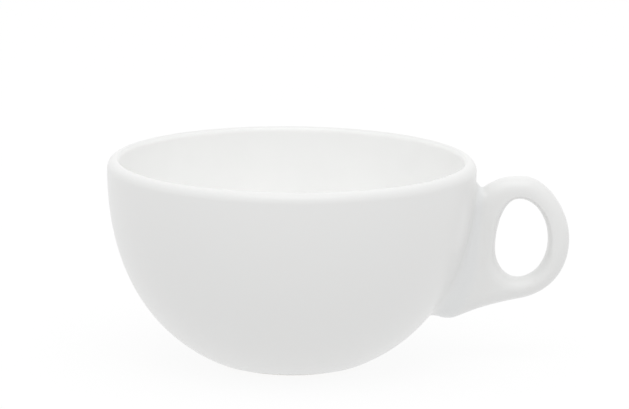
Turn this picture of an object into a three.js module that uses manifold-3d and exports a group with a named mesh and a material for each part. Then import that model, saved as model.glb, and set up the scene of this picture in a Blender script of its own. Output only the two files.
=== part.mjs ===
// A plain white glazed cup: a wide round bowl on a low foot ring, with a ring handle luted to its wall.
// Millimetres, +Z up. The cup stands on z = 0 and its handle points along +X.
import * as THREE from "three";
import { ParametricGeometry } from "three/addons/geometries/ParametricGeometry.js";
import { mergeVertices } from "three/addons/utils/BufferGeometryUtils.js";
import Module from "manifold-3d";

const wasm = await Module();
wasm.setup();

// Bowl, as it measures over its glaze
const RIM_DIAMETER = 105;
const CUP_HEIGHT = 58.8;
const LIP_DROP = 5; // from the lip's crest down to the widest ring
const LIP_TURN_IN = 2.5; // from the widest ring in to the crest
const LIP_INNER_WIDTH = 1; // from the crest in to the inner wall
const LIP_INNER_DROP = 1.7; // from the crest down to where the inner wall starts
const BELLY_REACH = 37; // how far the upright wall carries on before it turns under
const FOOT_DIAMETER = 45; // where the belly ends on the foot ring
const FOOT_SLOPE = THREE.MathUtils.degToRad(22.8); // the belly's slope where it ends
const FOOT_SWEEP = 7.3; // how far that slope carries
const BASE_THICKNESS = 3; // at the middle of the cup's floor
const INNER_REACH = 41; // how far the inner wall carries on before it turns to the floor
const FLOOR_RADIUS = 28; // how far the floor stays level

// Foot ring, bare clay
const FOOT_HEIGHT = 1;
const CONTACT_DIAMETER = 38.4;
const CONTACT_WIDTH = 3.2; // of the flat that touches the table
const RECESS_HEIGHT = 2.3; // of the base's glazed underside above the table, inside the ring

// Glaze and luting slip
const GLAZE = 0.3;
const SLIP = 0.5;
const FIT_GAP = 0.3; // left between pieces that are cut to fit each other

// Handle, as it measures over its glaze, in the upright plane through the bowl's axis
const HANDLE_PROJECTION = 26.9; // from the bowl's widest ring out to the outside of the handle's ring
const HANDLE_TOP = 54.1; // height of the ring's top
const TOP_PROJECTION = 12.7; // of the ring's top beyond the bowl's widest ring
const OUTER_HEIGHT = 35.4; // height at which the ring reaches out most
const RING_WIDTH = 6.2; // of the ring, seen from the side
const HANDLE_THICKNESS = 8; // of the ring and the web, seen from above
const HOLE_HEIGHT = 23;
const HOLE_WIDTH = 15.1;
const HOLE_LEAN = 0.6; // of the hole's lower end towards the bowl
const HOLE_SAG = 1.2; // of the hole's widest place on the bowl's side
const ROOT_DROP = 2.2; // from the bowl's widest ring down to where the ring's upper edge starts
const ROOT_DEPTH = 1.2; // of that start inside the widest ring
const NOTCH_DROP = 4; // how far the edge first heads down the wall
const NOTCH_LEAN = 2.6; // and how far it leans out on the way
const TOP_SWEEP = 8.2; // how far the ring's top runs level towards the bowl
const TAIL_HEIGHT = 18.4; // height at which the ring's underside becomes the web's lower edge
const TAIL_PROJECTION = 13.3; // of that place beyond the bowl's widest ring
const TAIL_SLOPE = THREE.MathUtils.degToRad(15); // of the underside there
const TAIL_SWEEP = 6.7; // how far that slope carries to either side
const RING_DROP = 9; // how far the ring's outside runs down before it turns under
const WEB_END_HEIGHT = 12.4; // height at which the web's lower edge ends inside the wall
const WEB_END_DEPTH = 16; // of that end behind the bowl's widest ring
const WEB_SLOPE = THREE.MathUtils.degToRad(-8); // of the lower edge there, falling away from the wall
const WEB_SWEEP = 9.6; // how far that slope carries
const FILLET_TOP = 2.5; // radius of the root's fillet at its upper end
const FILLET_BOTTOM = 5; // and at its lower end
const FILLET_SPREAD = 0.6; // how far the fillet reaches along the wall, as a share of its radius
const BURIED = 1; // depth to which the root is drawn into the bowl's clay, before it is cut to fit

// Fineness of the facets
const TURN_STEPS = 48;
const WALL_STEPS = 10;
const LIP_STEPS = 3;
const RING_STEPS = 60;
const SECTION_STEPS = 14;
const OUTLINE_STEPS = 24;

const QUARTER = 0.5523; // tangent length of a quarter ellipse, as a share of its radius
const LEAN_QUARTER = 0.52; // the same for the ring's outer quarter, which is a little less full

const rimRadius = RIM_DIAMETER / 2;
const crestRadius = rimRadius - LIP_TURN_IN;
const widestHeight = CUP_HEIGHT - LIP_DROP;
const footRadius = FOOT_DIAMETER / 2;
const contactRadius = CONTACT_DIAMETER / 2;
const recessRadius = contactRadius - CONTACT_WIDTH;
const floorHeight = RECESS_HEIGHT + BASE_THICKNESS;

const point = (x, y) => new THREE.Vector2(x, y);

function cubic(start, startHandle, endHandle, end) {
  return new THREE.CubicBezierCurve(start, startHandle, endHandle, end);
}

// The point that lies a distance from another, at an angle.
function toward(start, angle, distance) {
  return point(start.x + distance * Math.cos(angle), start.y + distance * Math.sin(angle));
}

// A quarter of an ellipse, tangent at both ends to the two sides of a corner.
function quarter(start, corner, end, fullness = QUARTER) {
  return cubic(start, start.clone().lerp(corner, fullness), end.clone().lerp(corner, fullness), end);
}

// Samples curves that follow each other into one line of points.
function trace(steps, ...curves) {
  const later = curves.slice(1).flatMap((curve) => curve.getPoints(steps).slice(1));
  return [...curves[0].getPoints(steps), ...later];
}

// Moves a line of points to its right-hand side by a distance.
function offset(points, distance) {
  const last = points.length - 1;
  const closed = points[0].equals(points[last]);
  return points.map((place, i) => {
    const before = points[i > 0 ? i - 1 : closed ? last - 1 : 0];
    const after = points[i < last ? i + 1 : closed ? 1 : last];
    const along = after.clone().sub(before).normalize();
    return point(place.x + along.y * distance, place.y - along.x * distance);
  });
}

// Least distance from a place to a line of points.
function distanceTo(points, place) {
  let least = Infinity;
  const nearest = new THREE.Vector3();
  const target = new THREE.Vector3(place.x, place.y, 0);
  const edge = new THREE.Line3();
  for (let i = 1; i < points.length; i += 1) {
    edge.start.set(points[i - 1].x, points[i - 1].y, 0);
    edge.end.set(points[i].x, points[i].y, 0);
    edge.closestPointToPoint(target, true, nearest);
    least = Math.min(least, nearest.distanceTo(target));
  }
  return least;
}

// Where a ray that leaves a place inside a closed line of points crosses it.
function crossing(points, start, angle) {
  const ray = toward(point(0, 0), angle, 1);
  for (let i = 1; i < points.length; i += 1) {
    const from = points[i - 1].clone().sub(start);
    const side = points[i].clone().sub(points[i - 1]);
    const slant = ray.cross(side);
    const along = from.cross(side) / slant;
    const share = from.cross(ray) / slant;
    if (along > 0 && share >= 0 && share <= 1) return toward(start, angle, along);
  }
  throw new Error("the handle's outline isn't closed around its hole");
}

// Bowl profiles over the glaze, radius and height: up the outside to the crest, and down the inside
const foot = point(footRadius, FOOT_HEIGHT);
const widest = point(rimRadius, widestHeight);
const crest = point(crestRadius, CUP_HEIGHT);
const innerTop = point(crestRadius - LIP_INNER_WIDTH, CUP_HEIGHT - LIP_INNER_DROP);
const floorMiddle = point(0, floorHeight);

const belly = cubic(
  foot,
  toward(foot, FOOT_SLOPE, FOOT_SWEEP),
  point(rimRadius, widestHeight - BELLY_REACH),
  widest,
);
const lipOutside = quarter(widest, point(widest.x, crest.y), crest);
const lipInside = quarter(crest, point(innerTop.x, crest.y), innerTop);
const inside = cubic(
  innerTop,
  point(innerTop.x, innerTop.y - INNER_REACH),
  point(FLOOR_RADIUS, floorHeight),
  floorMiddle,
);

const outerCoat = [...trace(WALL_STEPS, belly), ...trace(LIP_STEPS, lipOutside).slice(1)];
const innerCoat = [...trace(LIP_STEPS, lipInside), ...trace(WALL_STEPS, inside).slice(1)];

// The bare clay under the glaze
const clay = offset([...outerCoat, ...innerCoat.slice(1)], -GLAZE);
clay[0].set(footRadius - GLAZE, FOOT_HEIGHT);
clay.at(-1).set(0, floorHeight - GLAZE);
const outerClay = clay.slice(0, outerCoat.length);
const innerClay = clay.slice(outerCoat.length - 1);

// Turns a profile about the bowl's axis.
function turned(profile) {
  return new THREE.LatheGeometry(profile, TURN_STEPS).rotateX(Math.PI / 2);
}

// The bowl's outside, solid to the axis and grown beyond the bare clay.
function bowlPlug(growth) {
  const side = offset(outerClay, growth);
  return turned([point(0, side[0].y), ...side, point(0, side.at(-1).y)]);
}

// Handle outlines over the glaze, distance from the bowl's axis and height, both clockwise
const handleTop = point(rimRadius + TOP_PROJECTION, HANDLE_TOP);
const handleOuter = point(rimRadius + HANDLE_PROJECTION, OUTER_HEIGHT);
const tail = point(rimRadius + TAIL_PROJECTION, TAIL_HEIGHT);
const rootTop = point(rimRadius - ROOT_DEPTH, widestHeight - ROOT_DROP);
const webEnd = point(rimRadius - WEB_END_DEPTH, WEB_END_HEIGHT);

const upperEdge = cubic(
  rootTop,
  point(rootTop.x + NOTCH_LEAN, rootTop.y - NOTCH_DROP),
  point(handleTop.x - TOP_SWEEP, HANDLE_TOP),
  handleTop,
);
const ringOutside = quarter(handleTop, point(handleOuter.x, HANDLE_TOP), handleOuter, LEAN_QUARTER);
const ringUnderside = cubic(
  handleOuter,
  point(handleOuter.x, OUTER_HEIGHT - RING_DROP),
  toward(tail, TAIL_SLOPE, TAIL_SWEEP),
  tail,
);
const lowerEdge = cubic(
  tail,
  toward(tail, TAIL_SLOPE, -TAIL_SWEEP),
  toward(webEnd, WEB_SLOPE, WEB_SWEEP),
  webEnd,
);
const handleEdge = trace(OUTLINE_STEPS, upperEdge, ringOutside, ringUnderside, lowerEdge);

const holeTop = point(handleTop.x, HANDLE_TOP - RING_WIDTH);
const holeOuter = point(handleOuter.x - RING_WIDTH, OUTER_HEIGHT);
const holeBottom = point(holeTop.x - HOLE_LEAN, holeTop.y - HOLE_HEIGHT);
const holeInner = point(holeOuter.x - HOLE_WIDTH, OUTER_HEIGHT - HOLE_SAG);
const holeMiddle = point(holeTop.x, OUTER_HEIGHT);

const holeEdge = trace(
  OUTLINE_STEPS,
  quarter(holeTop, point(holeOuter.x, holeTop.y), holeOuter),
  quarter(holeOuter, point(holeOuter.x, holeBottom.y), holeBottom),
  quarter(holeBottom, point(holeInner.x, holeBottom.y), holeInner),
  quarter(holeInner, point(holeInner.x, holeTop.y), holeTop),
);

// The end of the root inside the wall, following the wall up
const buriedRoot = offset(outerClay, -BURIED).filter(
  ({ y }) => y > webEnd.y + BURIED && y < rootTop.y - BURIED,
);

// How far the root's fillet stands out from the web at a place.
function flare(place) {
  const share = THREE.MathUtils.smoothstep(place.y, webEnd.y, rootTop.y);
  const radius = THREE.MathUtils.lerp(FILLET_BOTTOM, FILLET_TOP, share);
  const nearness = Math.max(0, 1 - distanceTo(outerCoat, place) / radius);
  return FILLET_SPREAD * radius * nearness ** 2;
}

// The whole handle, its end buried in the bowl's wall, grown beyond its glaze or shrunk under it.
// Each section runs from the hole's edge out to the handle's edge along the front and back along the rear.
function handleForm(growth) {
  const hole = offset(holeEdge, growth);
  const edge = offset(handleEdge, -growth);
  const outline = [...edge, ...buriedRoot, edge[0]];
  const roundness = RING_WIDTH / 2 + growth;
  const form = (u, v, target) => {
    const angle = -2 * Math.PI * u;
    const near = crossing(hole, holeMiddle, angle);
    const far = crossing(outline, holeMiddle, angle);
    const turn = 2 * Math.PI * v;
    const place = near.lerp(far, (1 - Math.cos(turn)) / 2);
    const depth = Math.min(distanceTo(hole, place), distanceTo(edge, place), roundness) / roundness;
    const half = (HANDLE_THICKNESS / 2 + growth + flare(place)) * Math.sqrt(1 - (1 - depth) ** 2);
    const front = Math.sign(Math.round(SECTION_STEPS * Math.sin(turn)));
    target.set(place.x, -front * half, place.y);
  };
  return new ParametricGeometry(form, RING_STEPS, SECTION_STEPS);
}

// A closed geometry as a solid that can be cut.
function solid(geometry) {
  geometry.deleteAttribute("normal");
  geometry.deleteAttribute("uv");
  const merged = mergeVertices(geometry);
  const corners = Array.from(merged.index.array);
  const faces = [];
  for (let i = 0; i < corners.length; i += 3) {
    const [a, b, c] = corners.slice(i, i + 3);
    if (a !== b && b !== c && c !== a) faces.push(a, b, c);
  }
  const mesh = new wasm.Mesh({
    numProp: 3,
    vertProperties: new Float32Array(merged.attributes.position.array),
    triVerts: new Uint32Array(faces),
  });
  return new wasm.Manifold(mesh);
}

// The surface of a cut solid.
function surface(cut) {
  const mesh = cut.getMesh();
  const geometry = new THREE.BufferGeometry();
  geometry.setAttribute("position", new THREE.BufferAttribute(mesh.vertProperties, 3));
  geometry.setIndex(new THREE.BufferAttribute(mesh.triVerts, 1));
  geometry.computeVertexNormals();
  return geometry;
}

const biscuit = () => new THREE.MeshStandardMaterial({ color: 0xece9e3, roughness: 0.7, metalness: 0 });
const glaze = () => new THREE.MeshStandardMaterial({ color: 0xf3f3f2, roughness: 0.12, metalness: 0 });

const cup = new THREE.Group();

function addPiece(name, geometry, material) {
  const piece = new THREE.Mesh(geometry, material);
  piece.name = name;
  cup.add(piece);
}

// Bowl: wall, lip and floor in one, recessed underneath inside the foot ring
const underside = RECESS_HEIGHT + GLAZE;
const recessEdge = point(recessRadius, FOOT_HEIGHT);
const recessCorner = point(recessRadius - (underside - FOOT_HEIGHT), underside);
addPiece("bowl", turned([point(0, underside), recessCorner, recessEdge, ...clay]), biscuit());

// Foot ring: flat underneath, its flank running up to the belly
const footFlank = point(contactRadius, 0);
const footInside = point(recessRadius, 0);
addPiece("foot_ring", turned([recessEdge, footInside, footFlank, outerClay[0], recessEdge]), biscuit());

// Glaze coats of the bowl
const outerRing = [...outerCoat, ...outerClay.toReversed(), outerCoat[0]];
const glazedOutside = solid(turned(outerRing)).subtract(solid(handleForm(FIT_GAP)));
addPiece("outer_glaze", surface(glazedOutside), glaze());
addPiece("inner_glaze", turned([...innerClay.toReversed(), ...innerCoat]), glaze());
const baseEdge = point(recessCorner.x, RECESS_HEIGHT);
const baseCoat = [point(0, RECESS_HEIGHT), baseEdge, recessCorner, point(0, underside)];
addPiece("base_glaze", turned(baseCoat), glaze());

// Handle, the slip that lutes it to the wall, and the glaze over both
const handleClay = solid(handleForm(-GLAZE));
const lutedFace = SLIP + FIT_GAP;
addPiece("handle", surface(handleClay.subtract(solid(bowlPlug(lutedFace + FIT_GAP)))), biscuit());
const slipLayer = handleClay.intersect(solid(bowlPlug(lutedFace))).subtract(solid(bowlPlug(FIT_GAP)));
addPiece("handle_seam", surface(slipLayer), biscuit());
const handleCoat = solid(handleForm(0)).subtract(handleClay).subtract(solid(bowlPlug(GLAZE + FIT_GAP)));
addPiece("handle_glaze", surface(handleCoat), glaze());

// The middle of the whole cup's length goes over the origin
cup.position.x = -new THREE.Box3().setFromObject(cup).getCenter(new THREE.Vector3()).x;

export default cup;
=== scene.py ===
"""Looks of a white glazed cup with a ring handle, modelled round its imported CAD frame."""

import math
from bisect import bisect_right

import bpy
from mathutils import Matrix, Vector
from mathutils.bvhtree import BVHTree
from mathutils.geometry import interpolate_bezier


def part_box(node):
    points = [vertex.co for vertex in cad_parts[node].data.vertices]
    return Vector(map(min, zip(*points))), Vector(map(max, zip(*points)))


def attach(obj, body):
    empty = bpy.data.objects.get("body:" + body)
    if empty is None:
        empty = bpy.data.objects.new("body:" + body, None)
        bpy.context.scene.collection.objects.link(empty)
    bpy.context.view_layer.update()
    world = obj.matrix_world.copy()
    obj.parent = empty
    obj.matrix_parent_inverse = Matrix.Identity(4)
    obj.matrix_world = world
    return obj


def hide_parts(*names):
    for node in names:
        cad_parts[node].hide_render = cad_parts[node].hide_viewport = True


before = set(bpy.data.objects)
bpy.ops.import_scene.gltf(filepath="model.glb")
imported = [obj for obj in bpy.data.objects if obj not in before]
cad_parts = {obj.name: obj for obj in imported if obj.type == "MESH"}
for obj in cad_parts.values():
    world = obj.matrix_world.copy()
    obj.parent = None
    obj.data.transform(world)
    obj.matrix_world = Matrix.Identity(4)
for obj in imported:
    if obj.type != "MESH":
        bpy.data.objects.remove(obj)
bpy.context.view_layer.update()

bl_info = {
    "name": "Ring-Handle Cup",
    "version": (1, 0, 0),
    "blender": (4, 5, 0),
    "location": "View3D > Sidebar > Cup",
    "description": "Models a glazed cup with a bare foot and a ring handle, and its small studio",
    "category": "Object",
}

MM = 0.001
BOWL_LOW, BOWL_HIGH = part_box("bowl")
BOWL_AXIS = Vector(((BOWL_LOW.x + BOWL_HIGH.x) / 2, 0, 0))

# How finely the turned pieces are drawn
TURN_STEPS = 224
CURVE_STEPS = 40
FOOT_CURVE_STEPS = 3
MERGE_DISTANCE = 0.001 * MM

# Where the control points of a quarter ellipse lie on the way to its corner
QUARTER = 0.5523

# How finely the handle is drawn
RAY_STEPS = 320
SECTION_ROWS = 56
OUTLINE_STEPS = 200
FINE_TURNS = 1800
BEND_WEIGHT = 3 * MM
LARGEST_BEND = 0.2
HALVINGS = 30
STRIP_HALF_WIDTH = 1 * MM

# The torus that the handle is drawn out of, and how high over the hole's bottom its rays start
TORUS_RING = 12 * MM
TORUS_TUBE = 4 * MM
RAY_START_RISE = 5 * MM

# How the handle's skin ends under the bowl's
SEAM_OVERLAP = 1.2 * MM
SEAM_DEPTH = 0.05 * MM

# Small forms of the underside and the foot
RECESS_RUN = 1.6 * MM
FOOT_INSET = 0.3 * MM
FOOT_SOFTNESS = 0.3 * MM

# Where painted shade darkens the glaze above the foot, and how far the lip turns inwards before the
# inside's painted light starts
PAINTED_SHADE_HEIGHT = 3 * MM
PAINTED_LIGHT_TURN = 0.55

# Pattern sizes and depths of the glaze and the bare clay
CLOUD_SIZE = 30 * MM
CLOUD_SHARE = 0.35
RIPPLE_SIZE = 9 * MM
RIPPLE_DEPTH = 0.012 * MM
PEEL_SIZE = 1.5 * MM
PEEL_DEPTH = 0.002 * MM
RUB_SIZE = 4 * MM
GRIT_SIZE = 0.4 * MM
GRIT_DEPTH = 0.04 * MM

# Sockets of a Mix node that mixes colours
FIRST_COLOUR, SECOND_COLOUR, MIXED_COLOUR = 6, 7, 2

# Gloss of the glaze and the bare clay
GLAZE_IOR = 1.52
CLAY_IOR = 1.5
CLAY_ROUGHNESS = 0.72

# The light table, which lies a hair under the foot
TABLE_RADIUS = 4000 * MM
TABLE_SIDES = 96
TABLE_DROP = 0.02 * MM

# The photograph's frame in pixels, and the camera's sensor in millimetres
PHOTO_WIDTH, PHOTO_HEIGHT = 629, 409
SENSOR_WIDTH = 36


def length(name, millimetres, description):
    """A size in the sidebar, written in millimetres and kept in metres."""
    return bpy.props.FloatProperty(
        name=name,
        description=description,
        default=millimetres * MM,
        subtype="DISTANCE",
        unit="LENGTH",
        precision=5,
    )


def angle(name, degrees, description):
    """An angle in the sidebar, written in degrees and kept in radians."""
    return bpy.props.FloatProperty(
        name=name,
        description=description,
        default=math.radians(degrees),
        subtype="ANGLE",
        unit="ROTATION",
    )


def linear(hex_colour):
    """Linear red, green and blue of an sRGB hex colour."""
    shares = [int(hex_colour[i : i + 2], 16) / 255 for i in (1, 3, 5)]
    return [s / 12.92 if s <= 0.04045 else ((s + 0.055) / 1.055) ** 2.4 for s in shares]


def colour(name, hex_colour, description):
    """A colour in the sidebar, written as sRGB hex."""
    return bpy.props.FloatVectorProperty(
        name=name, description=description, default=linear(hex_colour), min=0, max=1, subtype="COLOR"
    )


def number(name, value, description):
    """A plain number in the sidebar."""
    return bpy.props.FloatProperty(name=name, description=description, default=value, precision=4)


class BowlSizes(bpy.types.PropertyGroup):
    """Sizes of the bowl over its glaze, and of the foot under it."""

    rim_diameter: length("Rim Diameter", 105, "Widest diameter, just under the lip")
    cup_height: length("Cup Height", 58.8, "From the table to the lip's crest")
    lip_drop: length("Lip Drop", 2.8, "How far the widest place lies under the lip's crest")
    lip_turn_in: length("Lip Turn-In", 2.5, "How far the crest lies inside the widest place")
    lip_inner_width: length("Lip Inner Width", 1, "From the crest to the inside wall")
    lip_inner_drop: length("Lip Inner Drop", 1.7, "From the crest down to the inside wall")
    belly_reach: length("Belly Reach", 40.4, "How long the wall stays upright below the widest place")
    foot_diameter: length("Foot Diameter", 45, "Where the belly meets the foot")
    foot_slope: angle("Foot Slope", 24.5, "Rise of the belly as it leaves the foot")
    foot_sweep: length("Foot Sweep", 7.2, "How long the belly keeps that slope")
    base_thickness: length("Base Thickness", 3, "Floor of the cup, glaze included")
    inner_reach: length("Inner Reach", 41, "How long the inside wall keeps its upright direction")
    floor_radius: length("Floor Radius", 28, "How far the flat of the floor reaches")
    foot_height: length("Foot Height", 1, "Height of the bare foot ring")
    contact_diameter: length("Contact Diameter", 38.4, "Outside of the flat that stands on the table")
    contact_width: length("Contact Width", 3.2, "Width of that flat")
    recess_height: length("Recess Height", 2.3, "Height of the underside over the table")


class HandleSizes(bpy.types.PropertyGroup):
    """Sizes of the ring handle over its glaze."""

    top_projection: length("Top Projection", 13.55, "How far out from the rim the ring's top lies")
    top_height: length("Top Height", 54.1, "Height of the ring's top")
    top_sweep: length("Top Sweep", 3.65, "How long the ring stays level before its top")
    top_fullness: number("Top Fullness", 0.475, "How full the ring's upper right shoulder is")
    projection: length("Projection", 26.9, "How far the ring stands out from the rim")
    outer_height: length("Outer Height", 35.9, "Height of the ring's outermost place")
    outer_drop: length("Outer Drop", 11.1, "How long the ring stays upright below its outermost place")
    tail_projection: length("Tail Projection", 13.3, "How far out the ring's underside meets the web's")
    tail_height: length("Tail Height", 18.65, "Height of that place")
    tail_slope: angle("Tail Slope", 11.1, "Slope of the underside there")
    tail_sweep: length("Tail Sweep", 6.3, "How long the ring's underside keeps that slope")
    web_sweep: length("Web Sweep", 15.7, "How long the web's underside keeps that slope")
    heel_reach: length("Heel Reach", 7.2, "How far inside the rim the web's lowest place lies")
    heel_height: length("Heel Height", 12.64, "Height of the web's lowest place")
    heel_sweep: length("Heel Sweep", 3.4, "How long the underside stays level about that place")
    web_end_reach: length("Web End Reach", 6.8, "From the lowest place in to the bowl")
    web_end_height: length("Web End Height", 13.2, "Height at which it reaches the bowl")
    web_end_sweep: length("Web End Sweep", 4.4, "How long the underside keeps its slope there")
    web_end_rise: length("Web End Rise", 0.7, "How far it rises over that length")
    notch_projection: length("Notch Projection", 2.45, "How far out the notch above the upper root lies")
    notch_height: length("Notch Height", 51.05, "Height of the notch")
    notch_rise: angle("Notch Rise", 33.3, "Slope of the ring's back as it leaves the notch")
    notch_sweep: length("Notch Sweep", 6.25, "How long the ring's back keeps that slope")
    notch_flank: length("Notch Flank", 1.55, "How far above the notch the root meets the bowl's wall")
    notch_start: length("Notch Start", 0.4, "How far inside the rim the root's outline starts")
    notch_lead: length("Notch Lead", 0.7, "How long the root stays level as it leaves the rim")
    notch_bow: length("Notch Bow", 1.85, "How long the root's slope reaches back from the notch")
    hole_height: length("Hole Height", 23, "Height of the finger hole")
    hole_width: length("Hole Width", 15.05, "Width of the finger hole")
    hole_top: length("Hole Top", 47.78, "Height of the finger hole's top")
    hole_top_reach: length("Hole Top Reach", 12.2, "How far out the hole's top and bottom lie")
    hole_outer_reach: length("Hole Outer Reach", 20.8, "How far out the hole's outer side lies")
    hole_outer_height: length("Hole Outer Height", 35.65, "Height of the hole's outer side")
    hole_sag: length("Hole Sag", 2.25, "How far the hole's inner side lies under its outer side")
    edge_round: length("Edge Rounding", 4.2, "How far in from the handle's outside its face is rounded")
    hole_round: length("Hole Rounding", 1.3, "The same in from the finger hole's top and sides")
    rest_round: length("Rest Rounding", 3.9, "The same under the hole, where the finger rests")
    thickness: length("Thickness", 8, "Thickness of the ring across its plane")
    fillet_top: length("Top Fillet", 3.2, "Radius of the blend into the bowl at the upper root")
    fillet_bottom: length("Bottom Fillet", 9.5, "Radius of the blend into the bowl at the lower root")
    wall_follow: length("Wall Follow", 10, "How far from the bowl the handle follows its wall's curve")
    # Painted shade: how far into the blend the glaze is darkened to stand in for the crease's shade
    painted_shade_reach: number("Painted Shade Reach", 0.8, "How much of the blend holds thick glaze")


class CupLook(bpy.types.PropertyGroup):
    """Colours and gloss of the glaze and the bare clay."""

    glaze: colour("Outer Glaze", "#E6E6E5", "White porcelain seen through the clear glaze outside")
    # Painted light: the inside is painted whiter than the outside to stand in for the light that fills
    # the cup; the glaze itself is the same
    glaze_inside_painted_light: colour("Inner Painted Light", "#F9F9F8", "The same inside the cup, where the glaze is whiter")
    # Painted shade: this greyer white is mixed in by random clouds, and as painted shade in the handle's
    # root crease and above the foot
    glaze_clouds_and_shade: colour("Glaze Clouds and Shade", "#E4E5E5", "The same where the glaze runs thick")
    glaze_roughness: number("Glaze Roughness", 0.3, "Roughness of the fired glaze")
    clay: colour("Bare Clay", "#DCD8D0", "Fired clay without glaze")
    clay_rubbed: colour("Rubbed Clay", "#C4BFB6", "The same where tables have rubbed it")


class StudioLook(bpy.types.PropertyGroup):
    """Camera, lamps and floor of the studio."""

    distance: length("Camera Distance", 1000, "From the camera to the middle of the rim")
    elevation: angle("Camera Elevation", 10.9, "How far above the rim the camera stands")
    roll: angle("Camera Roll", 0.5, "How far the camera leans")
    focal: number("Focal Length", 3517, "Focal length in pixels of the photograph")
    rim_x: number("Rim Across", 292.0, "The rim's middle in the photograph, in pixels from the left")
    rim_y: number("Rim Down", 158.0, "The rim's middle in the photograph, in pixels from the top")
    room_low: number("Room Light Low", 0.55, "Light of the white room at the height of the table")
    room_high: number("Room Light High", 1.23, "Light of the white room overhead")
    room_white: number("Room White", 1, "The same as the camera and the glaze's shine see it")
    box_power: number("Soft Box Power", 4.6, "Power of the soft box over the front, in watts")
    box_size: length("Soft Box Size", 1200, "Width of the soft box")
    box_distance: length("Soft Box Distance", 1600, "From the cup to the soft box")
    box_elevation: angle("Soft Box Elevation", 65, "How far above the table's height it hangs")
    table: colour("Table", "#626262", "Opal acrylic of the light table, as lit from above")
    table_glow: number("Table Glow", 0.785, "Light that the table sends up at the cup")
    table_white: number("Table White", 0.87, "The same as the camera and the glaze's shine see it")


def add_node(tree, kind, settings=None, inputs=None):
    """One node with its settings, and each input either linked or set."""
    node = tree.nodes.new(kind)
    for name, value in (settings or {}).items():
        setattr(node, name, value)
    for name, value in (inputs or {}).items():
        if isinstance(value, bpy.types.NodeSocket):
            tree.links.new(value, node.inputs[name])
        else:
            node.inputs[name].default_value = value
    return node


def seen_or_mirrored(tree):
    """1 for what is seen, also in gloss or through glass, and 0 for what only lights the cup."""
    path = add_node(tree, "ShaderNodeLightPath").outputs
    seen = path["Is Camera Ray"]
    for kind in ("Is Glossy Ray", "Is Transmission Ray"):
        either = add_node(tree, "ShaderNodeMath", {"operation": "MAXIMUM"}, {0: seen, 1: path[kind]})
        seen = either.outputs[0]
    return seen


def porcelain_glaze(look):
    """Clear gloss glaze on white porcelain, dipped and fired.

    It gives the eye a smooth white with soft mirror-like shine. The melt leaves long low ripples and a
    fine orange-peel. A faintly greyer white comes in random clouds, and as painted shade in the middle
    of the handle's root fillet and just above the foot; the inside is painted whiter than the outside as
    painted light.
    """
    name = "white_porcelain_glaze"
    if name in bpy.data.materials:
        return bpy.data.materials[name]
    material = bpy.data.materials.new(name)
    material.use_nodes = True
    tree = material.node_tree
    shader = tree.nodes["Principled BSDF"]
    place = add_node(tree, "ShaderNodeTexCoord").outputs["Object"]

    # Tone: random clouds about 30 mm wide of a greyer white, painted shade in the middle of the handle's
    # root fillet and over the lowest 3 mm, and the inside painted whiter than the outside as painted
    # light
    pattern = {"Vector": place, "Scale": 1 / CLOUD_SIZE, "Detail": 3.0}
    clouds = add_node(tree, "ShaderNodeTexNoise", None, pattern)
    shade_share = add_node(tree, "ShaderNodeAttribute", {"attribute_name": "glaze_pool"})
    cloud_shade_mix = add_node(
        tree,
        "ShaderNodeMath",
        {"operation": "MULTIPLY_ADD", "use_clamp": True},
        {0: clouds.outputs["Fac"], 1: CLOUD_SHARE, 2: shade_share.outputs["Fac"]},
    )
    # Painted light: the inside and the lip's inward face take the whiter inner colour
    painted_light_mask = add_node(tree, "ShaderNodeAttribute", {"attribute_name": "inner_coat"})
    whites = {
        "Factor": painted_light_mask.outputs["Fac"],
        FIRST_COLOUR: (*look.glaze, 1),
        SECOND_COLOUR: (*look.glaze_inside_painted_light, 1),
    }
    white = add_node(tree, "ShaderNodeMix", {"data_type": "RGBA"}, whites)
    tones = {
        "Factor": cloud_shade_mix.outputs[0],
        FIRST_COLOUR: white.outputs[MIXED_COLOUR],
        SECOND_COLOUR: (*look.glaze_clouds_and_shade, 1),
    }
    tone = add_node(tree, "ShaderNodeMix", {"data_type": "RGBA"}, tones)
    tree.links.new(tone.outputs[MIXED_COLOUR], shader.inputs["Base Color"])

    # Surface: ripples about 9 mm long, with an orange-peel about 1.5 mm wide on them
    normal = None
    for size, detail, depth in ((RIPPLE_SIZE, 1.0, RIPPLE_DEPTH), (PEEL_SIZE, 0.0, PEEL_DEPTH)):
        pattern = {"Vector": place, "Scale": 1 / size, "Detail": detail}
        waves = add_node(tree, "ShaderNodeTexNoise", None, pattern)
        relief = {"Height": waves.outputs["Fac"], "Strength": 1.0, "Distance": depth}
        if normal is not None:
            relief["Normal"] = normal
        normal = add_node(tree, "ShaderNodeBump", None, relief).outputs["Normal"]
    tree.links.new(normal, shader.inputs["Normal"])

    shader.inputs["Roughness"].default_value = look.glaze_roughness
    shader.inputs["IOR"].default_value = GLAZE_IOR
    return material


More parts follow.
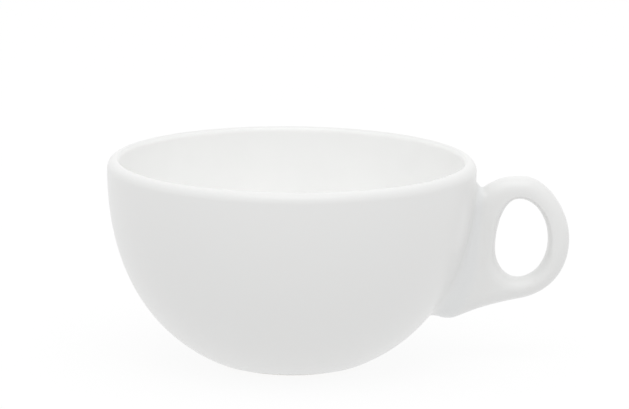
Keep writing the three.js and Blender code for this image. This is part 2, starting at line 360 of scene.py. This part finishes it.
def bare_porcelain(look):
    """Unglazed porcelain, ground flat after firing.

    It gives the eye a matt warm white with a fine grit, and greyer streaks where tables have rubbed it.
    """
    name = "bare_porcelain"
    if name in bpy.data.materials:
        return bpy.data.materials[name]
    material = bpy.data.materials.new(name)
    material.use_nodes = True
    tree = material.node_tree
    shader = tree.nodes["Principled BSDF"]
    place = add_node(tree, "ShaderNodeTexCoord").outputs["Object"]

    # Tone: rubbed places about 4 mm wide
    pattern = {"Vector": place, "Scale": 1 / RUB_SIZE, "Detail": 4.0}
    rubs = add_node(tree, "ShaderNodeTexNoise", None, pattern)
    levels = {"Value": rubs.outputs["Fac"], "From Min": 0.48, "From Max": 0.68, "To Max": 0.7}
    edges = add_node(tree, "ShaderNodeMapRange", None, levels)
    tones = {
        "Factor": edges.outputs["Result"],
        FIRST_COLOUR: (*look.clay, 1),
        SECOND_COLOUR: (*look.clay_rubbed, 1),
    }
    tone = add_node(tree, "ShaderNodeMix", {"data_type": "RGBA"}, tones)
    tree.links.new(tone.outputs[MIXED_COLOUR], shader.inputs["Base Color"])

    # Surface: grit about 0.4 mm across
    pattern = {"Vector": place, "Scale": 1 / GRIT_SIZE, "Detail": 2.0}
    grit = add_node(tree, "ShaderNodeTexNoise", None, pattern)
    relief = {"Height": grit.outputs["Fac"], "Strength": 1.0, "Distance": GRIT_DEPTH}
    bump = add_node(tree, "ShaderNodeBump", None, relief)
    tree.links.new(bump.outputs["Normal"], shader.inputs["Normal"])

    shader.inputs["Roughness"].default_value = CLAY_ROUGHNESS
    shader.inputs["IOR"].default_value = CLAY_IOR
    return material


def light_table(look):
    """Opal acrylic, lit from below.

    It gives the eye an even white, on which the light from above leaves the cup's soft shadow.
    """
    material = bpy.data.materials.new("opal_acrylic_table")
    material.use_nodes = True
    tree = material.node_tree
    tree.nodes.remove(tree.nodes["Principled BSDF"])
    matt = add_node(tree, "ShaderNodeBsdfDiffuse", None, {"Color": (*look.table, 1)})
    levels = {"Value": seen_or_mirrored(tree), "To Min": look.table_glow, "To Max": look.table_white}
    level = add_node(tree, "ShaderNodeMapRange", None, levels)
    glow = add_node(tree, "ShaderNodeEmission", None, {"Strength": level.outputs["Result"]})
    lit = add_node(tree, "ShaderNodeAddShader", None, {0: matt.outputs[0], 1: glow.outputs[0]})

    # From below the table is clear, so that the foot can be looked at
    below = add_node(tree, "ShaderNodeNewGeometry").outputs["Backfacing"]
    clear = add_node(tree, "ShaderNodeBsdfTransparent")
    sides = {0: below, 1: lit.outputs[0], 2: clear.outputs[0]}
    both = add_node(tree, "ShaderNodeMixShader", None, sides)
    tree.links.new(both.outputs[0], tree.nodes["Material Output"].inputs["Surface"])
    return material


def white_room(look):
    """White surroundings, which grow lighter from the table's height to overhead."""
    world = bpy.data.worlds.new("white_room")
    bpy.context.scene.world = world
    world.use_nodes = True
    tree = world.node_tree
    way = add_node(tree, "ShaderNodeTexCoord").outputs["Generated"]
    height = add_node(tree, "ShaderNodeSeparateXYZ", None, {"Vector": way}).outputs["Z"]
    levels = {"Value": height, "To Min": look.room_low, "To Max": look.room_high}
    light = add_node(tree, "ShaderNodeMapRange", None, levels).outputs["Result"]
    levels = {"Value": seen_or_mirrored(tree), "To Min": light, "To Max": look.room_white}
    level = add_node(tree, "ShaderNodeMapRange", None, levels)
    tree.links.new(level.outputs["Result"], tree.nodes["Background"].inputs["Strength"])
    tree.nodes["Background"].inputs["Color"].default_value = (1, 1, 1, 1)


def heading(slope):
    """Direction of a slope in the upright plane."""
    return Vector((math.cos(slope), math.sin(slope)))


def belly_curve(sizes):
    """Control points of the outside wall, in radius and height, from the foot to the widest place."""
    foot = Vector((sizes.foot_diameter / 2, sizes.foot_height))
    widest = Vector((sizes.rim_diameter / 2, sizes.cup_height - sizes.lip_drop))
    leaving = foot + sizes.foot_sweep * heading(sizes.foot_slope)
    return foot, leaving, widest - Vector((0, sizes.belly_reach)), widest


def quarter(start, end, first_upright, fullness=QUARTER):
    """Control points of a quarter ellipse from start to end, which leaves start upright or level."""
    corner = Vector((start.x, end.y)) if first_upright else Vector((end.x, start.y))
    return start, start.lerp(corner, fullness), end.lerp(corner, fullness), end


def straight(*corners):
    """Control points of straight steps from corner to corner."""
    ends = [Vector(c) for c in corners]
    return [(a, a.lerp(b, 1 / 3), b.lerp(a, 1 / 3), b) for a, b in zip(ends, ends[1:])]


def add_profile(name, steps, resolution=CURVE_STEPS):
    """A wire drawn with the Bézier tool in the upright plane through the bowl's axis."""
    bpy.ops.object.select_all(action="DESELECT")
    bpy.ops.curve.primitive_bezier_curve_add(location=(0, 0, 0))
    curve = bpy.context.object
    curve.name = name
    spline = curve.data.splines[0]
    spline.bezier_points.add(len(steps) - 1)
    spline.resolution_u = resolution

    def in_plane(point):
        return BOWL_AXIS + Vector((point.x, 0, point.y))

    for point in spline.bezier_points:
        point.handle_left_type = point.handle_right_type = "FREE"
    for step, (start, leaving, arriving, end) in enumerate(steps):
        near, far = spline.bezier_points[step], spline.bezier_points[step + 1]
        near.co, near.handle_right = in_plane(start), in_plane(leaving)
        far.handle_left, far.co = in_plane(arriving), in_plane(end)
    bpy.ops.object.convert(target="MESH")
    return bpy.context.object


def turn_on_axis(piece):
    """Spin a wire into a closed turned piece."""
    bpy.ops.object.mode_set(mode="EDIT")
    bpy.ops.mesh.select_all(action="SELECT")
    bpy.ops.mesh.spin(steps=TURN_STEPS, angle=math.tau, center=BOWL_AXIS, axis=(0, 0, 1))
    bpy.ops.mesh.select_all(action="SELECT")
    bpy.ops.mesh.remove_doubles(threshold=MERGE_DISTANCE)
    bpy.ops.mesh.normals_make_consistent(inside=False)
    bpy.ops.object.mode_set(mode="OBJECT")
    piece.data.name = piece.name


def finish_piece(piece, material, nodes, smooth_angle=40):
    """Shade a piece, give it its finish and let it stand for its CAD nodes."""
    bpy.ops.object.select_all(action="DESELECT")
    piece.select_set(True)
    bpy.context.view_layer.objects.active = piece
    bpy.ops.object.shade_smooth_by_angle(angle=math.radians(smooth_angle))
    piece.data.materials.clear()
    piece.data.materials.append(material)
    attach(piece, "root")
    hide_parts(*nodes)


def write_shares(piece, name, shares):
    """Write a share from 0 to 1 at each point of a piece, for its material to read."""
    attribute = piece.data.attributes.new(name, "FLOAT", "POINT")
    attribute.data.foreach_set("value", shares)


def smooth_step(low, high, value):
    """0 below low and 1 above high, with a soft rise between."""
    part = min(max((value - low) / (high - low), 0), 1)
    return part * part * (3 - 2 * part)


def inner_share(vertex, lip_height):
    """Share of the inside's painted light: 1 on the inside of the cup and 0 on the outside, with a soft
    change at the lip's inner edge.
    """
    # Below the lip the inside faces up and the outside faces down
    if vertex.co.z < lip_height:
        return 1 if vertex.normal.z > 0 else 0
    outwards = Vector((vertex.co.x - BOWL_AXIS.x, vertex.co.y, 0)).normalized()
    return smooth_step(PAINTED_LIGHT_TURN, 1, -vertex.normal.dot(outwards))


class CUP_OT_bowl(bpy.types.Operator):
    """Turn the bowl: belly, lip, inside and underside in one glazed skin"""

    bl_idname = "cup.bowl"
    bl_label = "Glazed Bowl"

    def execute(self, context):
        sizes = context.scene.cup_bowl
        belly = belly_curve(sizes)
        crest = Vector((sizes.rim_diameter / 2 - sizes.lip_turn_in, sizes.cup_height))
        inside = crest - Vector((sizes.lip_inner_width, sizes.lip_inner_drop))
        floor = Vector((0, sizes.recess_height + sizes.base_thickness))
        ring_inside = sizes.contact_diameter / 2 - sizes.contact_width
        underside = straight(
            (0, sizes.recess_height),
            (ring_inside - RECESS_RUN, sizes.recess_height),
            (ring_inside, sizes.foot_height),
            belly[0],
        )
        leaving = inside - Vector((0, sizes.inner_reach))
        arriving = floor + Vector((sizes.floor_radius, 0))
        wall = [
            belly,
            quarter(belly[3], crest, True),
            quarter(crest, inside, False),
            (inside, leaving, arriving, floor),
        ]
        piece = add_profile("glazed_bowl", underside + wall)
        turn_on_axis(piece)
        vertices = piece.data.vertices
        # Painted shade: the glaze is darkened over the lowest 3 mm, under the belly where shade falls
        write_shares(piece, "glaze_pool", [max(0.0, 1 - v.co.z / PAINTED_SHADE_HEIGHT) for v in vertices])
        lip_height = sizes.cup_height - sizes.lip_drop
        # Painted light: marks the inside and the lip's inward face for the whiter inner colour
        write_shares(piece, "inner_coat", [inner_share(v, lip_height) for v in vertices])
        nodes = ("bowl", "outer_glaze", "inner_glaze", "base_glaze")
        finish_piece(piece, porcelain_glaze(context.scene.cup_look), nodes)
        return {"FINISHED"}


class CUP_OT_foot(bpy.types.Operator):
    """Turn the bare ring that the cup stands on"""

    bl_idname = "cup.foot"
    bl_label = "Bare Foot Ring"

    def execute(self, context):
        sizes = context.scene.cup_bowl
        outside = sizes.contact_diameter / 2
        inside = outside - sizes.contact_width
        edge = sizes.foot_diameter / 2 - FOOT_INSET
        soft = FOOT_SOFTNESS
        profile = straight(
            (inside, sizes.foot_height + soft),
            (inside, soft),
            (inside + soft, 0),
            (outside - soft, 0),
            (outside + soft, soft / 3),
            (edge, sizes.foot_height),
            (edge, sizes.foot_height + soft),
            (inside, sizes.foot_height + soft),
        )
        piece = add_profile("bare_foot_ring", profile, FOOT_CURVE_STEPS)
        turn_on_axis(piece)
        clay = bare_porcelain(context.scene.cup_look)
        finish_piece(piece, clay, ("foot_ring",), smooth_angle=30)
        return {"FINISHED"}


def ribbon(points):
    """A narrow strip along a line in the handle's plane, to measure distances and rays to it."""
    sides = (-STRIP_HALF_WIDTH, STRIP_HALF_WIDTH)
    corners = [BOWL_AXIS + Vector((p.x, side, p.y)) for p in points for side in sides]
    faces = [(2 * i, 2 * i + 1, 2 * i + 3, 2 * i + 2) for i in range(len(points) - 1)]
    return BVHTree.FromPolygons(corners, faces)


def drawn(curves):
    """Points along Bézier steps that follow each other."""
    points = []
    for curve in curves:
        points += interpolate_bezier(*curve, OUTLINE_STEPS)[1 if points else 0 :]
    return [Vector((p.x, p.y)) for p in points]


def ray_way(turn):
    """Direction of a ray in the handle's plane."""
    return Vector((math.cos(turn), 0, math.sin(turn)))


class HandleForm:
    """The handle as a half-thickness over its own plane, which spreads into the bowl's wall."""

    def __init__(self, bowl, sizes):
        self.sizes = sizes
        rim = bowl.rim_diameter / 2

        # The finger hole, clockwise from its top
        hole_top = Vector((rim + sizes.hole_top_reach, sizes.hole_top))
        hole_outer = Vector((rim + sizes.hole_outer_reach, sizes.hole_outer_height))
        hole_bottom = hole_top - Vector((0, sizes.hole_height))
        hole_inner = hole_outer - Vector((sizes.hole_width, sizes.hole_sag))
        hole = [
            quarter(hole_top, hole_outer, False),
            quarter(hole_outer, hole_bottom, True),
            quarter(hole_bottom, hole_inner, False),
            quarter(hole_inner, hole_top, True),
        ]

        # The outside, clockwise from the bowl's wall above the notch to its wall under the web
        notch = Vector((rim + sizes.notch_projection, sizes.notch_height))
        wall_top = Vector((rim - sizes.notch_start, notch.y + sizes.notch_flank))
        leaving_wall = Vector((rim + sizes.notch_lead, wall_top.y))
        rise = heading(sizes.notch_rise)
        top = Vector((rim + sizes.top_projection, sizes.top_height))
        outer = Vector((rim + sizes.projection, sizes.outer_height))
        tail = Vector((rim + sizes.tail_projection, sizes.tail_height))
        slope = heading(sizes.tail_slope)
        heel = Vector((rim - sizes.heel_reach, sizes.heel_height))
        level = Vector((sizes.heel_sweep, 0))
        web_end = Vector((heel.x - sizes.web_end_reach, sizes.web_end_height))
        arriving = Vector((sizes.web_end_sweep, sizes.web_end_rise))
        edge = [
            (wall_top, leaving_wall, notch - rise * sizes.notch_bow, notch),
            (notch, notch + rise * sizes.notch_sweep, top - Vector((sizes.top_sweep, 0)), top),
            quarter(top, outer, False, sizes.top_fullness),
            (outer, outer - Vector((0, sizes.outer_drop)), tail + slope * sizes.tail_sweep, tail),
            (tail, tail - slope * sizes.web_sweep, heel + level, heel),
            (heel, heel - level, web_end + arriving, web_end),
        ]
        belly = belly_curve(bowl)
        self.hole = ribbon(drawn(hole))
        self.edge = ribbon(drawn(edge))
        crest = Vector((rim - bowl.lip_turn_in, bowl.cup_height))
        self.wall = ribbon(drawn([belly, quarter(belly[3], crest, True)]))
        self.middle = BOWL_AXIS + Vector((hole_bottom.x, 0, hole_bottom.y + RAY_START_RISE))
        self.rest_height = hole_bottom.y
        self.root_low = web_end.y + sizes.thickness / 2 + sizes.fillet_bottom
        self.root_high = wall_top.y - sizes.thickness / 2 - sizes.fillet_top
        self.turns = self.ray_turns()

    def ray(self, strip, turn):
        """How far a ray from the middle of the hole runs to a strip."""
        return strip.ray_cast(self.middle, ray_way(turn))[3] or math.inf

    def meets_wall(self, turn):
        """Whether a ray comes to the bowl's wall before it comes to the handle's outside."""
        return self.ray(self.wall, turn) < self.ray(self.edge, turn)

    def outside(self, turn):
        """Where a ray leaves the handle."""
        reach = min(self.ray(self.wall, turn), self.ray(self.edge, turn))
        return self.middle + reach * ray_way(turn)

    def ray_turns(self):
        """Turns of the rays, evenly along the handle's outside and closer where it bends."""
        fine = [math.tau * step / FINE_TURNS for step in range(FINE_TURNS + 1)]
        ends = [self.outside(turn) for turn in fine]
        steps = [b - a for a, b in zip(ends, ends[1:])]
        walked = [0.0]
        for before, step in zip(steps[-1:] + steps, steps):
            bend = min(before.angle(step), LARGEST_BEND)
            walked.append(walked[-1] + step.length + BEND_WEIGHT * bend)
        turns = []
        for index in range(RAY_STEPS):
            goal = walked[-1] * index / RAY_STEPS
            at = bisect_right(walked, goal) - 1
            part = (goal - walked[at]) / (walked[at + 1] - walked[at])
            turns.append(fine[at] + part * (fine[at + 1] - fine[at]))

        # One ray runs into each end of the root
        for step in range(1, RAY_STEPS):
            low, high = turns[step - 1], turns[step]
            starts_on_wall = self.meets_wall(low)
            if starts_on_wall == self.meets_wall(high):
                continue
            for _ in range(HALVINGS):
                half = (low + high) / 2
                if self.meets_wall(half) == starts_on_wall:
                    low = half
                else:
                    high = half
            end = low if starts_on_wall else high
            nearest = min(step - 1, step, key=lambda index: abs(turns[index] - end))
            turns[nearest] = end
        return turns

    def fillet(self, height):
        """Radius of the blend into the bowl's wall at a height."""
        rise = smooth_step(self.sizes.web_end_height, self.sizes.hole_top, height)
        return self.sizes.fillet_bottom + (self.sizes.fillet_top - self.sizes.fillet_bottom) * rise

    def half_thickness(self, place, gap):
        """Half the handle's thickness at a place in its plane, which lies gap from the bowl's wall."""
        radius = self.fillet(place.z)
        near = max(radius - gap, 0)
        spread = radius - math.sqrt(radius * radius - near * near)
        half = self.sizes.thickness / 2 + spread
        sides = smooth_step(self.rest_height, self.sizes.hole_outer_height, place.z)
        hole_round = self.sizes.rest_round + (self.sizes.hole_round - self.sizes.rest_round) * sides
        for strip, width in ((self.hole, hole_round), (self.edge, self.sizes.edge_round + spread)):
            inwards = min(strip.find_nearest(place)[3] / width, 1)
            half *= math.sqrt(1 - (1 - inwards) ** 2)
        return half

    def under_glaze(self, place, across):
        """Where the skin runs on under the bowl's glaze, away from the root's middle line."""
        above = place.z - min(max(place.z, self.root_low), self.root_high)
        away = Vector((across, above)).normalized() * min(SEAM_OVERLAP, across / 2)
        height = BOWL_AXIS + Vector((0, 0, place.z + away.y))
        skin, facing = self.wall.ray_cast(height, Vector((1, 0, 0)))[:2]
        return skin - facing * math.copysign(SEAM_DEPTH, facing.x), across + away.x

    def place(self, step, row, side):
        """A point of the skin, and how much painted shade darkens it there.

        Steps count round the finger hole, rows from the hole's edge outwards, and the side is 1 or -1.
        """
        turn = self.turns[step]
        meets_wall = self.meets_wall(turn)
        rows = SECTION_ROWS - 2 if meets_wall else SECTION_ROWS
        part = (1 - math.cos(math.pi * min(row / rows, 1))) / 2
        hole_edge = self.middle + self.ray(self.hole, turn) * ray_way(turn)
        flat = hole_edge.lerp(self.outside(turn), part)
        gap = 0 if meets_wall and row >= rows else self.wall.find_nearest(flat)[3]
        across = 0 if row == 0 else self.half_thickness(flat, gap)
        corner = min(gap / (self.sizes.painted_shade_reach * self.fillet(flat.z)), 1)

        # At the wall the skin dips under the bowl's glaze, runs on there and closes inside its clay
        if meets_wall and row == rows:
            flat.x -= SEAM_DEPTH
        if row == rows + 1:
            flat, across = self.under_glaze(flat, across)
        elif row > rows + 1:
            flat.x -= SEAM_OVERLAP
        if row == SECTION_ROWS:
            across = 0
        reach = flat.x - BOWL_AXIS.x
        follows_wall = 1 - smooth_step(0, self.sizes.wall_follow, gap)
        curved = math.sqrt(reach * reach - follows_wall * across * across)
        # Painted shade: darkest in the middle of the blend into the bowl, where the crease's shade falls
        shade_share = 4 * corner * (1 - corner)
        return Vector((BOWL_AXIS.x + curved, side * across, flat.z)), shade_share


class CUP_OT_handle(bpy.types.Operator):
    """Draw the ring handle out of a torus, with its web blended into the bowl's wall"""

    bl_idname = "cup.handle"
    bl_label = "Glazed Ring Handle"

    def execute(self, context):
        form = HandleForm(context.scene.cup_bowl, context.scene.cup_handle)
        bpy.ops.object.select_all(action="DESELECT")
        bpy.ops.mesh.primitive_torus_add(
            location=form.middle,
            rotation=(math.pi / 2, 0, 0),
            major_segments=RAY_STEPS,
            minor_segments=2 * SECTION_ROWS,
            major_radius=TORUS_RING,
            minor_radius=TORUS_TUBE,
        )
        piece = context.object
        piece.name = piece.data.name = "glazed_handle"
        bpy.ops.object.transform_apply(location=True, rotation=True, scale=True)
        shade_shares = []
        for vertex in piece.data.vertices:
            out = vertex.co - form.middle
            step = round(math.atan2(out.z, out.x) / math.tau * RAY_STEPS) % RAY_STEPS
            around = math.atan2(out.y, TORUS_RING - math.hypot(out.x, out.z))
            row = round(abs(around) / math.pi * SECTION_ROWS)
            vertex.co, shade_share = form.place(step, row, math.copysign(1, around))
            shade_shares.append(shade_share)
        write_shares(piece, "glaze_pool", shade_shares)
        bpy.ops.object.mode_set(mode="EDIT")
        bpy.ops.mesh.select_all(action="SELECT")
        bpy.ops.mesh.normals_make_consistent(inside=False)
        bpy.ops.object.mode_set(mode="OBJECT")
        nodes = ("handle", "handle_seam", "handle_glaze")
        finish_piece(piece, porcelain_glaze(context.scene.cup_look), nodes, smooth_angle=60)
        return {"FINISHED"}


class CUP_OT_studio(bpy.types.Operator):
    """Set the light table, the white room, the soft box and the camera"""

    bl_idname = "cup.studio"
    bl_label = "Studio"

    def execute(self, context):
        look = context.scene.cup_studio
        bpy.ops.object.select_all(action="DESELECT")
        bpy.ops.mesh.primitive_circle_add(
            vertices=TABLE_SIDES,
            radius=TABLE_RADIUS,
            fill_type="NGON",
            location=(0, 0, -TABLE_DROP),
        )
        floor = context.object
        floor.name = "studio_floor"
        floor.data.materials.append(light_table(look))
        white_room(look)
        self.add_soft_box(context, look)
        self.add_camera(context, look)
        context.scene.view_settings.view_transform = "Standard"
        return {"FINISHED"}

    def add_soft_box(self, context, look):
        """A wide lamp high over the front of the cup, which faces it."""
        way = Vector((0, -math.cos(look.box_elevation), math.sin(look.box_elevation)))
        facing = way.to_track_quat("Z", "Y").to_euler()
        hung_at = BOWL_AXIS + look.box_distance * way
        bpy.ops.object.light_add(type="AREA", location=hung_at, rotation=facing)
        lamp = context.object
        lamp.name = "soft_box"
        lamp.data.size = look.box_size
        lamp.data.energy = look.box_power

    def add_camera(self, context, look):
        """A camera at the photograph's angle, turned so that the rim falls at its place there."""
        rim = BOWL_AXIS + Vector((0, 0, context.scene.cup_bowl.cup_height))
        lean = Matrix.Rotation(look.roll, 3, "Z")
        level = Matrix.Rotation(math.pi / 2 - look.elevation, 3, "X")
        per_pixel = look.distance / look.focal
        aside = Vector((PHOTO_WIDTH / 2 - look.rim_x, look.rim_y - PHOTO_HEIGHT / 2, 0)) * per_pixel
        eye = rim + level @ Vector((0, 0, look.distance))
        aim = rim + level @ lean @ aside
        back = (eye - aim).normalized()
        upright = level @ lean @ Vector((0, 1, 0))
        right = upright.cross(back).normalized()
        turned = Matrix((right, back.cross(right), back)).transposed()
        bpy.ops.object.camera_add(location=eye, rotation=turned.to_euler())
        camera = context.object
        camera.name = "photo_camera"
        camera.data.sensor_width = SENSOR_WIDTH
        camera.data.lens = look.focal / PHOTO_WIDTH * SENSOR_WIDTH
        context.scene.camera = camera


class CUP_PT_panel(bpy.types.Panel):
    """Sidebar panel with the cup's pieces and studio"""

    bl_idname = "CUP_PT_panel"
    bl_label = "Ring-Handle Cup"
    bl_space_type = "VIEW_3D"
    bl_region_type = "UI"
    bl_category = "Cup"

    def draw(self, context):
        for operator in OPERATORS:
            self.layout.operator(operator.bl_idname)
        for name in SETTINGS:
            group = getattr(context.scene, name)
            box = self.layout.box()
            for field in group.__annotations__:
                box.prop(group, field)


OPERATORS = (CUP_OT_bowl, CUP_OT_foot, CUP_OT_handle, CUP_OT_studio)
SETTINGS = {
    "cup_bowl": BowlSizes,
    "cup_handle": HandleSizes,
    "cup_look": CupLook,
    "cup_studio": StudioLook,
}
CLASSES = (*SETTINGS.values(), *OPERATORS, CUP_PT_panel)


def register():
    """Make the cup's classes and settings known to Blender."""
    for cls in CLASSES:
        bpy.utils.register_class(cls)
    for name, group in SETTINGS.items():
        setattr(bpy.types.Scene, name, bpy.props.PointerProperty(type=group))


def unregister():
    """Take them out again."""
    for name in SETTINGS:
        delattr(bpy.types.Scene, name)
    for cls in reversed(CLASSES):
        bpy.utils.unregister_class(cls)


def main():
    """Model the cup and its studio."""
    register()
    bpy.ops.cup.bowl()
    bpy.ops.cup.foot()
    bpy.ops.cup.handle()
    bpy.ops.cup.studio()


if __name__ == "__main__":
    main()
